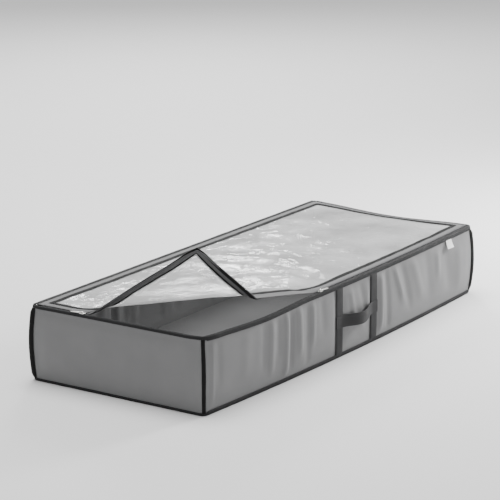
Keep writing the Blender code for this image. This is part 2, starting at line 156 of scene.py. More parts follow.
def settled(point):
    """Where a point of the box itself lies: bowed, its corners swollen, its rim slack where it is open."""
    top = smooth((point.z - 55 * MM) / (90 * MM))
    away = math.hypot(LENGTH / 2 - abs(point.x), WIDTH / 2 - abs(point.y))
    signs = (math.copysign(1, point.x), math.copysign(1, point.y))
    rise = math.sin(math.pi * min(1.0, max(0.0, point.z / WALL_TOP)))
    out = CORNER_OUT[signs] * rise * (1 - smooth(away / CORNER_OUT_REACH)) * math.sqrt(0.5)
    slack = top * drawn_in(point, RIM_SLACK)
    along = (point.x - SAG_SPAN[0]) / (SAG_SPAN[1] - SAG_SPAN[0])
    front = smooth((-point.y - WIDTH / 2 + 40 * MM) / (36 * MM))
    sag = top * front * math.sin(math.pi * min(1.0, max(0.0, along))) ** 2
    return bowed(Vector((
        point.x + signs[0] * out + slack,
        point.y + signs[1] * out + slack - RIM_OUT * sag,
        point.z - RIM_SAG * sag - top * right_sag(point.x, point.y),
    )))


# Outline of the box in plan


def make_stations():
    """Places round the box, anticlockwise from the front left corner: (side, share) or (corner, share)."""
    places = []
    for index, side in enumerate(SIDES):
        long_side = LENGTH if side in ("front", "back") else WIDTH
        count = round(long_side / STEP)
        places += [("side", index, step / count) for step in range(count)]
        places += [("arc", index, step / ARC_STEPS) for step in range(ARC_STEPS)]
    return places


def outline(station, depth):
    """The point at a station and a depth inside the outer face, and the direction outward there."""
    kind, index, share = station
    radius = max(SMALL_ROUND, ROUND - depth)
    x, y = LENGTH / 2 - depth - radius, WIDTH / 2 - depth - radius
    corners = ((-x, -y), (x, -y), (x, y), (-x, y))
    if kind == "side":
        angle = math.radians(-90 + 90 * index)
        away = Vector((math.cos(angle), math.sin(angle), 0))
        start, end = Vector((*corners[index], 0)), Vector((*corners[(index + 1) % 4], 0))
        return start.lerp(end, share) + away * radius, away
    angle = math.radians(-90 + 90 * index + 90 * share)
    away = Vector((math.cos(angle), math.sin(angle), 0))
    return Vector((*corners[(index + 1) % 4], 0)) + away * radius, away


STATIONS = make_stations()


def distances(points, closed=False):
    """Running length along a line of points."""
    total, lengths = 0.0, [0.0]
    following = points[1:] + points[:1] if closed else points[1:]
    for first, second in zip(points, following):
        total += (second - first).length
        lengths.append(total)
    return lengths


# Mesh making


def make_piece(name, vertices, faces, uvs, material):
    """A mesh object from its points and faces, with a UV place for each corner of each face."""
    mesh = bpy.data.meshes.new(name)
    mesh.from_pydata([tuple(v) for v in vertices], [], faces)
    layer = mesh.uv_layers.new(name="UVMap")
    for loop, uv in zip(layer.data, (uv for face in uvs for uv in face)):
        loop.uv = uv
    shell = bmesh.new()
    shell.from_mesh(mesh)
    bmesh.ops.recalc_face_normals(shell, faces=shell.faces)
    shell.to_mesh(mesh)
    shell.free()
    mesh.materials.append(material)
    mesh.shade_smooth()
    mesh.set_sharp_from_angle(angle=math.radians(50))
    piece = bpy.data.objects.new(name, mesh)
    bpy.context.scene.collection.objects.link(piece)
    return piece


def loft(name, rings, material, closed=False):
    """One closed body through rings of equal point counts, with its UV map in metres."""
    count = len(rings[0])
    middles = [sum(ring, Vector()) / count for ring in rings]
    along = distances(middles, closed)
    around = distances(rings[len(rings) // 2], True)
    vertices = [point for ring in rings for point in ring]
    faces, uvs = [], []
    for step in range(len(rings) if closed else len(rings) - 1):
        here, there = step * count, (step + 1) % len(rings) * count
        for k in range(count):
            n = (k + 1) % count
            faces.append((here + k, here + n, there + n, there + k))
            low, high = around[k], around[k + 1]
            uvs.append(((along[step], low), (along[step], high),
                        (along[step + 1], high), (along[step + 1], low)))
    if not closed:
        for first in (0, (len(rings) - 1) * count):
            faces.append(tuple(range(first, first + count)))
            uvs.append([(0.0, value) for value in around[:count]])
    return make_piece(name, vertices, faces, uvs, material)


def shell_grid(name, rows, thickness, material):
    """A thin closed sheet. rows is a grid of (point, outward direction)."""
    high, wide = len(rows), len(rows[0])
    outer = [point for row in rows for point, _ in row]
    inner = [point - away * thickness for row in rows for point, away in row]
    across = distances([point for point, _ in rows[high // 2]])
    up = distances([row[wide // 2][0] for row in rows])
    offset = high * wide
    faces, uvs = [], []

    def add(corners, flip):
        picked = corners[::-1] if flip else corners
        faces.append(tuple(index + (offset if flip else 0) for index, _ in picked))
        uvs.append([uv for _, uv in picked])

    for r in range(high - 1):
        for c in range(wide - 1):
            corners = [(row * wide + col, (across[col], up[row]))
                       for row, col in ((r, c), (r, c + 1), (r + 1, c + 1), (r + 1, c))]
            add(corners, False)
            add(corners, True)
    edge = [(0, c) for c in range(wide)] + [(r, wide - 1) for r in range(1, high)]
    edge += [(high - 1, c) for c in range(wide - 2, -1, -1)] + [(r, 0) for r in range(high - 2, 0, -1)]
    for first, second in zip(edge, edge[1:] + edge[:1]):
        a, b = first[0] * wide + first[1], second[0] * wide + second[1]
        faces.append((a, b, b + offset, a + offset))
        start = (across[first[1]], up[first[0]])
        end = (across[second[1]], up[second[0]])
        uvs.append((start, end, end, start))
    return make_piece(name, outer + inner, faces, uvs, material)


def tape_ring(centre, across, away, width, thickness):
    """A flat cross-section with rounded edges, its middle at centre."""
    edge = min(thickness * 0.5, width * 0.25)
    places = (
        (-0.5, 0, -0.25), (-0.5, 1, -0.5), (-0.17, 0, -0.5),
        (0.17, 0, -0.5), (0.5, -1, -0.5), (0.5, 0, -0.25),
        (0.5, 0, 0.25), (0.5, -1, 0.5), (0.17, 0, 0.5),
        (-0.17, 0, 0.5), (-0.5, 1, 0.5), (-0.5, 0, 0.25),
    )
    return [centre + across * (width * w + edge * inset) + away * (thickness * t) for w, inset, t in places]


# Materials


class Nodes:
    """A short way to write a Principled material's nodes."""

    def __init__(self, name, colour, roughness, metallic=0.0):
        self.material = bpy.data.materials.new(name)
        self.material.use_nodes = True
        self.tree = self.material.node_tree
        self.shader = self.tree.nodes["Principled BSDF"]
        self.set("Base Color", (*colour, 1))
        self.set("Roughness", roughness)
        self.set("Metallic", metallic)
        self.uv = self.add("ShaderNodeUVMap", uv_map="UVMap").outputs["UV"]

    def set(self, socket, value):
        self.shader.inputs[socket].default_value = value

    def add(self, kind, inputs=None, **settings):
        node = self.tree.nodes.new(kind)
        for key, value in settings.items():
            setattr(node, key, value)
        for key, value in (inputs or {}).items():
            if isinstance(value, bpy.types.NodeSocket):
                self.tree.links.new(value, node.inputs[key])
            else:
                node.inputs[key].default_value = value
        return node

    def noise(self, size, detail=3.0, vector=None):
        inputs = {"Vector": vector or self.uv, "Scale": 1 / size, "Detail": detail}
        return self.add("ShaderNodeTexNoise", inputs).outputs["Fac"]

    def ribs(self, period, direction="X", wander=0.0):
        """Fine parallel ribs. A Wave texture of scale 1 repeats every 2 pi / 20."""
        scale = 2 * math.pi / 20 / period
        inputs = {"Vector": self.uv, "Scale": scale, "Distortion": wander}
        return self.add("ShaderNodeTexWave", inputs, bands_direction=direction).outputs["Fac"]

    def math(self, operation, first, second):
        return self.add("ShaderNodeMath", {0: first, 1: second}, operation=operation).outputs[0]

    def spread(self, value, low, high):
        inputs = {"Value": value, "From Min": 0.3, "From Max": 0.7, "To Min": low, "To Max": high}
        return self.add("ShaderNodeMapRange", inputs).outputs["Result"]

    def blend(self, value, first, second):
        node = self.add("ShaderNodeMix", data_type="RGBA")
        sockets = [s for s in node.inputs if s.type == "RGBA"]
        sockets[0].default_value = (*first, 1)
        sockets[1].default_value = (*second, 1)
        self.tree.links.new(value, node.inputs[0])
        return next(s for s in node.outputs if s.type == "RGBA")

    def link(self, output, socket):
        self.tree.links.new(output, self.shader.inputs[socket])

    def bump(self, height, strength, distance):
        inputs = {"Height": height, "Strength": strength, "Distance": distance}
        self.link(self.add("ShaderNodeBump", inputs).outputs["Normal"], "Normal")


def grey_fabric(name, dark, light):
    """Plain woven polyester: a fine weave, faint cloudy shade and a soft sheen."""
    n = Nodes(name, dark, 0.72)
    n.set("Sheen Weight", 0.15)
    n.set("Sheen Roughness", 0.4)
    cloud = n.noise(60 * MM, 2.0)
    fleck = n.noise(1.2 * MM, 2.0)
    shade = n.math("ADD", n.math("MULTIPLY", cloud, 0.5), n.math("MULTIPLY", fleck, 0.5))
    n.link(n.blend(n.spread(shade, 0, 1), dark, light), "Base Color")
    n.link(n.spread(fleck, 0.64, 0.82), "Roughness")
    weave = n.math("MULTIPLY", n.ribs(0.8 * MM, "X", 0.4), n.ribs(0.8 * MM, "Y", 0.4))
    n.bump(weave, 0.35, 0.15 * MM)
    return n.material


def ribbed_tape(name, dark, light, period, gloss=0.3):
    """Ribbed binding or webbing. The ribs run across it."""
    n = Nodes(name, dark, 0.75)
    n.set("Sheen Weight", 0.02)
    n.set("Specular IOR Level", gloss)
    wear = n.noise(14 * MM, 3.0)
    ribs = n.ribs(period, "X", 0.3)
    shade = n.math("ADD", n.math("MULTIPLY", wear, 0.6), n.math("MULTIPLY", ribs, 0.4))
    n.link(n.blend(n.spread(shade, 0, 1), dark, light), "Base Color")
    n.link(n.spread(wear, 0.66, 0.85), "Roughness")
    n.bump(ribs, 0.5, 0.2 * MM)
    return n.material


def clear_film():
    """Slightly hazy vinyl: mostly clear, cloudier in patches, with soft ripples."""
    n = Nodes("clear_film_look", (0.9, 0.905, 0.905), 0.16)
    n.set("Specular IOR Level", 0.75)
    haze = n.noise(110 * MM, 3.0)
    n.link(n.spread(haze, 0.24, 0.46), "Alpha")
    n.link(n.spread(n.noise(30 * MM, 2.0), 0.06, 0.2), "Roughness")
    soft = n.noise(42 * MM, 2.0)
    ridge = n.math("ABSOLUTE", n.math("SUBTRACT", n.noise(75 * MM, 2.5), 0.5), 0.0)
    crease = n.math("MINIMUM", n.math("MULTIPLY", ridge, 14.0), 1.0)
    n.bump(n.math("ADD", soft, n.math("MULTIPLY", crease, 0.35)), 0.7, 3.0 * MM)
    return n.material


def plain_plastic():
    """Dull moulded plastic, a little uneven."""
    n = Nodes("zipper_teeth_look", (0.05, 0.05, 0.052), 0.6)
    n.set("Specular IOR Level", 0.3)
    n.link(n.spread(n.noise(3 * MM), 0.5, 0.7), "Roughness")
    n.link(n.blend(n.noise(5 * MM), (0.05, 0.05, 0.052), (0.095, 0.095, 0.097)), "Base Color")
    return n.material


def nickel():
    """Plated metal with faint tumbling marks. The CAD nodes have no UV map, so it reads object space."""
    n = Nodes("nickel_look", (0.66, 0.65, 0.63), 0.25, 1.0)
    place = n.add("ShaderNodeTexCoord").outputs["Object"]
    marks = n.noise(0.9 * MM, 4.0, place)
    n.link(n.spread(marks, 0.18, 0.38), "Roughness")
    n.link(n.blend(n.noise(4 * MM, 2.0, place), (0.6, 0.59, 0.57), (0.72, 0.71, 0.69)), "Base Color")
    n.bump(marks, 0.15, 0.05 * MM)
    return n.material


def white_satin():
    """Smooth woven ribbon with fine cross threads."""
    n = Nodes("label_look", (0.85, 0.85, 0.83), 0.5)
    n.set("Sheen Weight", 0.2)
    n.link(n.blend(n.noise(9 * MM), (0.78, 0.78, 0.76), (0.88, 0.88, 0.87)), "Base Color")
    n.bump(n.ribs(0.5 * MM, "Y"), 0.3, 0.08 * MM)
    return n.material


FABRIC = grey_fabric("grey_fabric_look", (0.158, 0.159, 0.161), (0.184, 0.184, 0.185))
BORDER = grey_fabric("lid_border_look", (0.092, 0.093, 0.095), (0.108, 0.108, 0.109))
BINDING = ribbed_tape("binding_look", (0.009, 0.009, 0.0095), (0.022, 0.022, 0.023), 1.1 * MM, 0.2)
BLACK_TAPE = ribbed_tape("black_tape_look", (0.003, 0.003, 0.003), (0.009, 0.009, 0.009), 1.1 * MM, 0.15)
WEBBING = ribbed_tape("webbing_look", (0.011, 0.011, 0.0115), (0.028, 0.028, 0.029), 1.7 * MM)
ZIP_TAPE = ribbed_tape("zip_tape_look", (0.075, 0.075, 0.077), (0.115, 0.115, 0.117), 0.9 * MM)
THREAD = ribbed_tape("thread_look", (0.03, 0.03, 0.031), (0.07, 0.07, 0.072), 0.5 * MM)
FILM = clear_film()
TEETH = plain_plastic()
NICKEL = nickel()
SATIN = white_satin()


# Camera, floor and light


CAMERA_AZIMUTH = math.radians(-56.25)
CAMERA_ELEVATION = math.radians(14.95)
CAMERA_DISTANCE = 5.049
CAMERA_LENS = 180
CAMERA_ASIDE = -0.02825
CAMERA_RAISE = 0.0967


def make_camera():
    azimuth, elevation = CAMERA_AZIMUTH, CAMERA_ELEVATION
    back = Vector((
        math.sin(azimuth) * math.cos(elevation),
        -math.cos(azimuth) * math.cos(elevation),
        math.sin(elevation),
    ))
    right = (-back).cross(Vector((0, 0, 1))).normalized()
    up = right.cross(-back)
    target = Vector((0, Y_SHIFT, 0.075)) + right * CAMERA_ASIDE + up * CAMERA_RAISE
    data = bpy.data.cameras.new("camera")
    data.lens = CAMERA_LENS
    data.sensor_width = 36
    data.clip_end = 60
    camera = bpy.data.objects.new("camera", data)
    camera.location = target + back * CAMERA_DISTANCE
    camera.rotation_mode = "QUATERNION"
    camera.rotation_quaternion = (-back).to_track_quat("-Z", "Y")
    bpy.context.scene.collection.objects.link(camera)
    bpy.context.scene.camera = camera


def make_floor():
    """A wide, pale, level floor."""
    across = (-12, -6, 0, 6, 12)
    wide, long = len(across), 41
    vertices = [Vector((x, -12 + 0.6 * row, 0)) for row in range(long) for x in across]
    starts = [row * wide + column for row in range(long - 1) for column in range(wide - 1)]
    faces = [(i, i + 1, i + wide + 1, i + wide) for i in starts]
    uvs = [[(vertices[i].x, vertices[i].y) for i in face] for face in faces]
    n = Nodes("floor_look", (0.8, 0.8, 0.8), 0.85)
    n.link(n.blend(n.noise(0.4, 2.0), (0.84, 0.84, 0.84), (0.86, 0.86, 0.86)), "Base Color")
    floor = make_piece("studio_floor", vertices, faces, uvs, n.material)


def make_light(name, location, size, energy, target=(0, 0, 0.1)):
    data = bpy.data.lights.new(name, "AREA")
    data.shape = "DISK"
    data.size = size
    data.energy = energy
    light = bpy.data.objects.new(name, data)
    light.location = location
    light.rotation_mode = "QUATERNION"
    light.rotation_quaternion = (Vector(target) - Vector(location)).to_track_quat("-Z", "Y")
    bpy.context.scene.collection.objects.link(light)


def make_lights():
    world = bpy.data.worlds.new("studio")
    world.use_nodes = True
    world.node_tree.nodes["Background"].inputs["Color"].default_value = (1, 1, 1, 1)
    world.node_tree.nodes["Background"].inputs["Strength"].default_value = 0.67
    bpy.context.scene.world = world
    make_light("key", (1.5, -0.6, 0.7), 0.5, 37, (0.45, -0.2, 0.08))
    make_light("top", (0.2, 0.6, 3.4), 2.4, 132)
    make_light("back", (2.6, 2.0, 1.7), 0.8, 50)


# Walls


# Upright soft folds of the front wall: place along the wall, width, depth, top, bottom, lean
FRONT_FOLDS = (
    (-0.474, 0.006, 2.6, 0.136, 0.020, -0.02), (-0.456, 0.010, -1.6, 0.136, 0.050, 0.0),
    (-0.372, 0.022, 1.4, 0.138, 0.050, -0.03), (-0.318, 0.013, -1.8, 0.140, 0.050, 0.0),
    (-0.292, 0.010, 3.2, 0.140, 0.034, 0.0), (-0.270, 0.009, -2.2, 0.138, 0.060, 0.02),
    (-0.243, 0.008, 4.0, 0.140, 0.012, -0.01), (-0.226, 0.009, -3.4, 0.140, 0.028, 0.0),
    (-0.199, 0.011, 3.8, 0.140, 0.046, 0.03), (-0.170, 0.010, -2.0, 0.138, 0.020, 0.0),
    (-0.151, 0.008, 3.0, 0.138, 0.055, -0.02), (-0.118, 0.015, -1.8, 0.138, 0.070, 0.03),
    (-0.018, 0.011, 2.8, 0.135, 0.058, 0.22), (0.022, 0.014, -2.4, 0.135, 0.035, 0.30),
    (0.100, 0.009, 3.4, 0.136, 0.020, 0.03), (0.122, 0.011, -2.8, 0.138, 0.012, 0.10),
    (0.156, 0.010, 3.6, 0.138, 0.062, 0.42), (0.186, 0.015, -2.8, 0.138, 0.040, 0.36),
    (0.228, 0.020, 2.6, 0.138, 0.050, 0.45), (0.290, 0.024, -2.2, 0.136, 0.045, 0.20),
    (0.338, 0.013, 2.6, 0.130, 0.075, 0.10), (0.372, 0.026, -2.2, 0.134, 0.040, 0.25),
    (0.432, 0.022, 2.0, 0.120, 0.030, 0.06),
)
END_FOLDS = (
    (-0.120, 0.030, 1.0, 0.130, 0.040, 0.1), (0.020, 0.040, -0.9, 0.130, 0.030, -0.1),
    (0.110, 0.030, 0.9, 0.130, 0.040, 0.0),
)
BULGE = {"front": 3.5 * MM, "right": 5 * MM, "back": 3.0 * MM, "left": 5.5 * MM}


def under_strap(along):
    """1 where an upright strap holds the wall down, and 0 well away from one."""
    share = 0.0
    for sign in (-1, 1):
        away = abs(along - HANDLE_CENTRE - sign * STRAP_SPACING / 2)
        share = max(share, 1 - smooth((away - 0.45 * STRAP_WIDTH) / (0.6 * STRAP_WIDTH)))
    return share


def wall_swell(side, along, z):
    """How far a wall stands out at a place: a broad bulge, and soft folds with no sharp edge."""
    half = LENGTH / 2 if side in ("front", "back") else WIDTH / 2
    rise = math.sin(math.pi * min(1.0, max(0.0, z / WALL_TOP)))
    near_end = smooth((half - abs(along)) / (45 * MM))
    envelope = near_end * smooth((z - BOTTOM_BAND) / (22 * MM))
    envelope *= smooth((WALL_TOP - RIM_BAND - z) / (18 * MM))
    swell = BULGE[side] * rise * near_end * envelope
    swell += 0.9 * MM * envelope * ripple(along, z, 0, 70 * MM, 3.1 + SIDES.index(side))
    folds = FRONT_FOLDS if side == "front" else END_FOLDS
    if side == "back":
        folds = [(-place, *rest) for place, *rest in FRONT_FOLDS]
    for place, width, depth, top, bottom, lean in folds:
        off = along - place - lean * (top - z)
        reach = smooth((z - bottom + 0.02) / 0.04) * smooth((top + 0.006 - z) / 0.02)
        reach *= smooth((z - BOTTOM_BAND) / 0.012)
        swell += depth * MM * math.exp(-2 * (off / width) ** 2) * reach
    if side in ("front", "back"):
        place = along if side == "front" else -along
        swell *= 1 - 0.9 * under_strap(place)
    return max(swell, -1.2 * MM)


def along_of(point, side):
    return {"front": point.x, "right": point.y, "back": -point.x, "left": -point.y}[side]


def wall_point(side, station, z, depth):
    point, away = outline(station, depth)
    place = point + away * wall_swell(side, along_of(point, side), z)
    place.z = z
    return settled(place), away


def side_stations(index):
    """A side's stations, with the half of each corner's arc that its wall turns into."""
    half = ARC_STEPS // 2
    before = [("arc", (index - 1) % 4, step / ARC_STEPS) for step in range(half, ARC_STEPS)]
    count = round((LENGTH if index % 2 == 0 else WIDTH) / STEP)
    middle = [("side", index, step / count) for step in range(count + 1)]
    after = [("arc", index, step / ARC_STEPS) for step in range(1, half + 1)]
    return before + middle + after


def make_walls():
    foot, height, steps = 1.6 * MM, WALL_TOP - 2.4 * MM, 30
    levels = [foot + height * step / steps for step in range(steps + 1)]
    for index, side in enumerate(SIDES):
        places = side_stations(index)
        trim = places[1:-1]
        rows = [[wall_point(side, station, z, PANEL_DEPTH) for station in trim] for z in levels]
        wall = shell_grid(f"{side}_wall", rows, PANEL_THICKNESS, FABRIC)
        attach(wall, "box")
        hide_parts(f"{side}_panel")


def make_bottom():
    """The floor of the box, with the slight waves of a cloth that nothing fills."""
    rows = []
    across, along = 40, 100
    inset = PANEL_DEPTH + PANEL_THICKNESS + 1.2 * MM
    for r in range(across + 1):
        row = []
        for c in range(along + 1):
            x = (LENGTH / 2 - inset) * (2 * c / along - 1)
            y = (WIDTH / 2 - inset) * (2 * r / across - 1)
            edge = min(LENGTH / 2 - abs(x), WIDTH / 2 - abs(y))
            lift = smooth(edge / 0.05) * (1.1 * MM + 1.0 * MM * ripple(x, y, 0, 90 * MM, 7.7))
            row.append((bowed(Vector((x, y, 3.3 * MM + max(0.0, lift)))), Vector((0, 0, 1))))
        rows.append(row)
    floor = shell_grid("box_floor", rows, PANEL_THICKNESS, FABRIC)
    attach(floor, "box")
    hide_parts("bottom_panel")


# Bindings


def end_level(height, x, fold):
    """A level on a band, which is slimmer on the left end, measured from the edge it is folded over."""
    left = smooth((-x - LENGTH / 2 + 14 * MM) / (10 * MM))
    return fold + (height - fold) * (1 - LEFT_SLIMMING * left)


def band_ring(station, profile, fold, wobble, seed):
    """A binding's cross-section at a station, its profile as (depth, height), a little uneven."""
    ring = []
    base, away = outline(station, 0)
    push = wobble * ripple(base.x, base.y, 0, 38 * MM, seed)
    sway = wobble * 0.7 * ripple(base.x, base.y, 0, 55 * MM, seed + 9)
    for depth, height in profile:
        point, _ = outline(station, max(depth, 0))
        if depth < 0:
            point = point - away * depth
        lift = end_level(height, base.x, fold) + (sway if height > BOTTOM_BAND / 2 else 0)
        ring.append(settled(Vector((point.x, point.y, lift)) + away * push))
    return ring


def make_rim():
    foot, crown = WALL_TOP - RIM_BAND, RIM_CROWN
    profile = (
        (0.2 * MM, foot), (-0.3 * MM, foot + 0.9 * MM), (-0.5 * MM, foot + 3.5 * MM),
        (-0.4 * MM, crown - 1.6 * MM), (0.1 * MM, crown - 0.5 * MM), (0.9 * MM, crown),
        (3.5 * MM, crown), (3.7 * MM, crown - 0.5 * MM), (3.4 * MM, crown - 0.9 * MM),
        (1.6 * MM, crown - 1.0 * MM), (1.2 * MM, crown - 1.7 * MM), (1.2 * MM, foot + 0.3 * MM),
    )
    rings = [band_ring(station, profile, crown, 0.35 * MM, 1.3) for station in STATIONS]
    rim = loft("rim_tape", rings, BINDING, closed=True)
    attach(rim, "box")
    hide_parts(*[f"rim_binding_{side}" for side in SIDES])


def make_bottom_band():
    top = BOTTOM_BAND
    profile = (
        (10 * MM, 0.1 * MM), (10 * MM, 1.2 * MM), (2.0 * MM, 1.3 * MM), (1.4 * MM, 1.9 * MM),
        (1.2 * MM, top - 0.2 * MM), (0.2 * MM, top), (-0.4 * MM, top - 1 * MM), (-0.5 * MM, 3.5 * MM),
        (0.0, 1.2 * MM), (0.8 * MM, 0.2 * MM), (2.5 * MM, 0.05 * MM),
    )
    rings = [band_ring(station, profile, 0, 0.3 * MM, 5.9) for station in STATIONS]
    band = loft("bottom_tape", rings, BINDING, closed=True)
    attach(band, "box")
    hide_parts(*[f"bottom_binding_{side}" for side in SIDES])


CORNER_NAMES = ("front_right", "back_right", "back_left", "front_left")
CORNER_WIDTHS = {"front_right": 1.35, "back_right": 1.2, "back_left": 1.35, "front_left": 0.6}
CORNER_RIDGES = {"front_right": 4 * MM, "back_right": 3 * MM, "back_left": 3.5 * MM, "front_left": 1 * MM}


def make_corner_bands():
    """A tape folded over each upright seam, which stands out as a ridge. It leans and thins a little."""
    spread = CORNER_BAND / (math.pi / 2 * ROUND)
    ridge = (0.0, 0.25, 0.75, 1.0, 0.75, 0.25, 0.0)
    for index, name in enumerate(CORNER_NAMES):
        end = LENGTH / 2 if name.endswith("right") else -LENGTH / 2
        low = end_level(BOTTOM_BAND, end, 0) - 1 * MM
        high = end_level(WALL_TOP - RIM_BAND, end, RIM_CROWN) + 1 * MM
        rings = []
        for step in range(31):
            share = step / 30
            z = low + (high - low) * share
            wide = spread * CORNER_WIDTHS[name] * (1 + 0.12 * ripple(0, 0, z, 30 * MM, index * 4.1))
            drift = 0.03 * ripple(0, z, 0, 60 * MM, index * 2.3)
            proud = 0.6 * MM + 0.5 * MM * math.sin(math.pi * share)
            ends = [0.5 - wide + drift + 2 * wide * k / 6 for k in range(7)]
            outer = [outline(("arc", index, s), 0) for s in ends]
            stand = CORNER_RIDGES[name] * smooth(share / 0.06) * smooth((1 - share) / 0.06)
            ring = [point + away * (proud + stand * ridge[k] - (0.7 * MM if k in (0, 6) else 0))
                    for k, (point, away) in enumerate(outer)]
            ring += [point - away * 1.0 * MM for point, away in reversed(outer)]
            rings.append([settled(Vector((p.x, p.y, z))) for p in ring])
        tape = loft(f"corner_tape_{name}", rings, BLACK_TAPE)
        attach(tape, "box")
        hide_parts(f"corner_binding_{name}")


# Handles and label


def strap_front(along, z, sign):
    """A point on the outer face of the long wall under a strap, front (-1) or back (1)."""
    side = "front" if sign < 0 else "back"
    swell = wall_swell(side, along * -sign, z)
    return Vector((along, sign * (WIDTH / 2 - 1.1 * MM + max(0.0, swell)), z))


def make_straps():
    for side, sign in LONG_SIDES:
        for name, place in (("left", -1), ("right", 1)):
            centre = HANDLE_CENTRE + place * STRAP_SPACING / 2
            rings = []
            low, high = BOTTOM_BAND - 1.5 * MM, WALL_TOP - RIM_BAND + 1.5 * MM
            for step in range(37):
                z = low + (high - low) * step / 36
                drift = 0.5 * MM * ripple(centre, z, 0, 60 * MM, 2.2)
                middle = strap_front(centre, z, sign) + Vector((drift, sign * 0.6 * MM, 0))
                ring = tape_ring(middle, Vector((1, 0, 0)), Vector((0, sign, 0)), STRAP_WIDTH, 1.2 * MM)
                rings.append([bowed(p) for p in ring])
            strap = loft(f"upright_strap_{side}_{name}", rings, WEBBING)
            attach(strap, "box")
            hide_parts(f"handle_strap_{side}_{name}")


def grab_line(share, sign):
    """The grab strap's middle line: sewn flat at its ends, standing off and sagging between them."""
    span = STRAP_SPACING + STRAP_WIDTH
    along = (share - 0.5) * span
    free = (STRAP_SPACING - STRAP_WIDTH) / 2 + STRAP_WIDTH * 0.4
    lift = 0.0
    if abs(along) < free:
        lift = 0.5 + 0.5 * math.cos(math.pi * along / free)
    y = WIDTH / 2 + 1.0 * MM + GRAB_BOW * lift
    return Vector((HANDLE_CENTRE + along, sign * y, GRAB_LEVEL - 3 * MM * lift))


def make_grabs():
    """Each grab strap is made as two halves, each running from a sewn end to the middle."""
    for side, sign in LONG_SIDES:
        for name, start, end in (("left", 0.0, 0.5), ("right", 1.0, 0.5)):
            rings = []
            for step in range(31):
                share = start + (end - start) * step / 30
                middle = grab_line(share, sign)
                tangent = (grab_line(share + 0.005, sign) - grab_line(share - 0.005, sign)).normalized()
                away = tangent.cross(Vector((0, 0, 1))).normalized()
                away = away if away.y * sign > 0 else -away
                up = away.cross(tangent).normalized()
                up = up if up.z > 0 else -up
                rings.append([bowed(p) for p in tape_ring(middle, up, away, STRAP_WIDTH, 1.3 * MM)])
            half = loft(f"grab_{side}_{name}", rings, WEBBING)
            middle = bowed(grab_line(0.5, sign))
            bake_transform(half)
            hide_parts(f"grab_strap_{side}")


def make_label():
    low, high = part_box("care_label")
    rows = []
    for r in range(13):
        share = r / 12
        z = high.z + 2 * MM - (high.z + 2 * MM - low.z) * share
        curl = 5.5 * MM * share ** 1.4
        row = []
        for c in range(11):
            x = low.x + (high.x - low.x) * c / 10
            side = 0.5 * MM * math.sin(math.pi * c / 10) * share
            y = -WIDTH / 2 - 0.3 * MM - curl - side - max(0.0, wall_swell("front", x, z))
            row.append((bowed(Vector((x, y, z))), Vector((0, -1, 0))))
        rows.append(row)
    label = shell_grid("blank_label", rows, 0.35 * MM, SATIN)
    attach(label, "box")
    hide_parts("care_label")


# Zipper


def tooth(centre, across, along):
    """Vertices and faces of one small tooth with a narrower top."""
    up = Vector((0, 0, 1))
    vertices = []
    for height, grow in ((-0.8, 1.0), (0.3, 1.0), (0.8, 0.6)):
        for a, b in ((-1, -1), (1, -1), (1, 1), (-1, 1)):
            vertices.append(centre + across * (0.8 * MM * a * grow) + along * (0.62 * MM * b * grow)
                            + up * (height * MM))
    faces = [(0, 1, 2, 3), (8, 9, 10, 11)]
    for base in (0, 4):
        faces += [(base + k, base + (k + 1) % 4, base + 4 + (k + 1) % 4, base + 4 + k) for k in range(4)]
    return vertices, faces


def dense_line(depth, sides, step):
    """Points along the outline at a depth, a fixed step apart, over some of the stations."""
    points = [outline(station, depth) for station in sides]
    lengths = distances([point for point, _ in points])
    placed, spot, index = [], 0.0, 0
    while spot <= lengths[-1]:
        while index < len(lengths) - 2 and lengths[index + 1] < spot:
            index += 1
        gap = max(1e-9, lengths[index + 1] - lengths[index])
        share = (spot - lengths[index]) / gap
        first, second = points[index], points[index + 1]
        placed.append((first[0].lerp(second[0], share), first[1].lerp(second[1], share).normalized()))
        spot += step
    return placed


def zip_stations():
    """The zipper's run: up the left end, along the front and up the right end."""
    count = len(STATIONS)
    start = next(i for i, s in enumerate(STATIONS) if s[0] == "side" and s[1] == 3)
    run = [STATIONS[(start + k) % count] for k in range(count)]
    stop = next(i for i, s in enumerate(run) if s[0] == "arc" and s[1] == 1)
    return run[2:stop - 2]


ZIP_RUN = zip_stations()


def teeth_row(name, depth, level, shape, wanted=lambda centre: True):
    """One half of the zipper's teeth, laid straight and then moved by shape, where they are wanted."""
    vertices, faces, uvs = [], [], []
    for point, away in dense_line(depth, ZIP_RUN, TOOTH_PITCH):
        along = Vector((0, 0, 1)).cross(away)
        centre = Vector((point.x, point.y, level))
        if not wanted(centre):
            continue
        some, their = tooth(centre, away, along)
        base = len(vertices)
        vertices += [shape(v) for v in some]
        for face in their:
            faces.append(tuple(i + base for i in face))
            uvs.append([(some[i].x + some[i].z, some[i].y + some[i].z) for i in face])
    return make_piece(name, vertices, faces, uvs, TEETH)


def make_box_zip():
    row = teeth_row("box_teeth", 5.2 * MM, 149.0 * MM, settled)
    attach(row, "box")
    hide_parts("zipper_chain_box")
    rings = []
    for station in ZIP_RUN:
        outer, away = outline(station, 2.6 * MM)
        inner, _ = outline(station, 5.0 * MM)
        middle = (outer + inner) / 2
        middle.z = 148.4 * MM
        rings.append([settled(p) for p in tape_ring(middle, away, Vector((0, 0, 1)), 2.4 * MM, 0.5 * MM)])
    tape = loft("box_zip_tape", rings, ZIP_TAPE)
    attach(tape, "box")


# The lid's folds


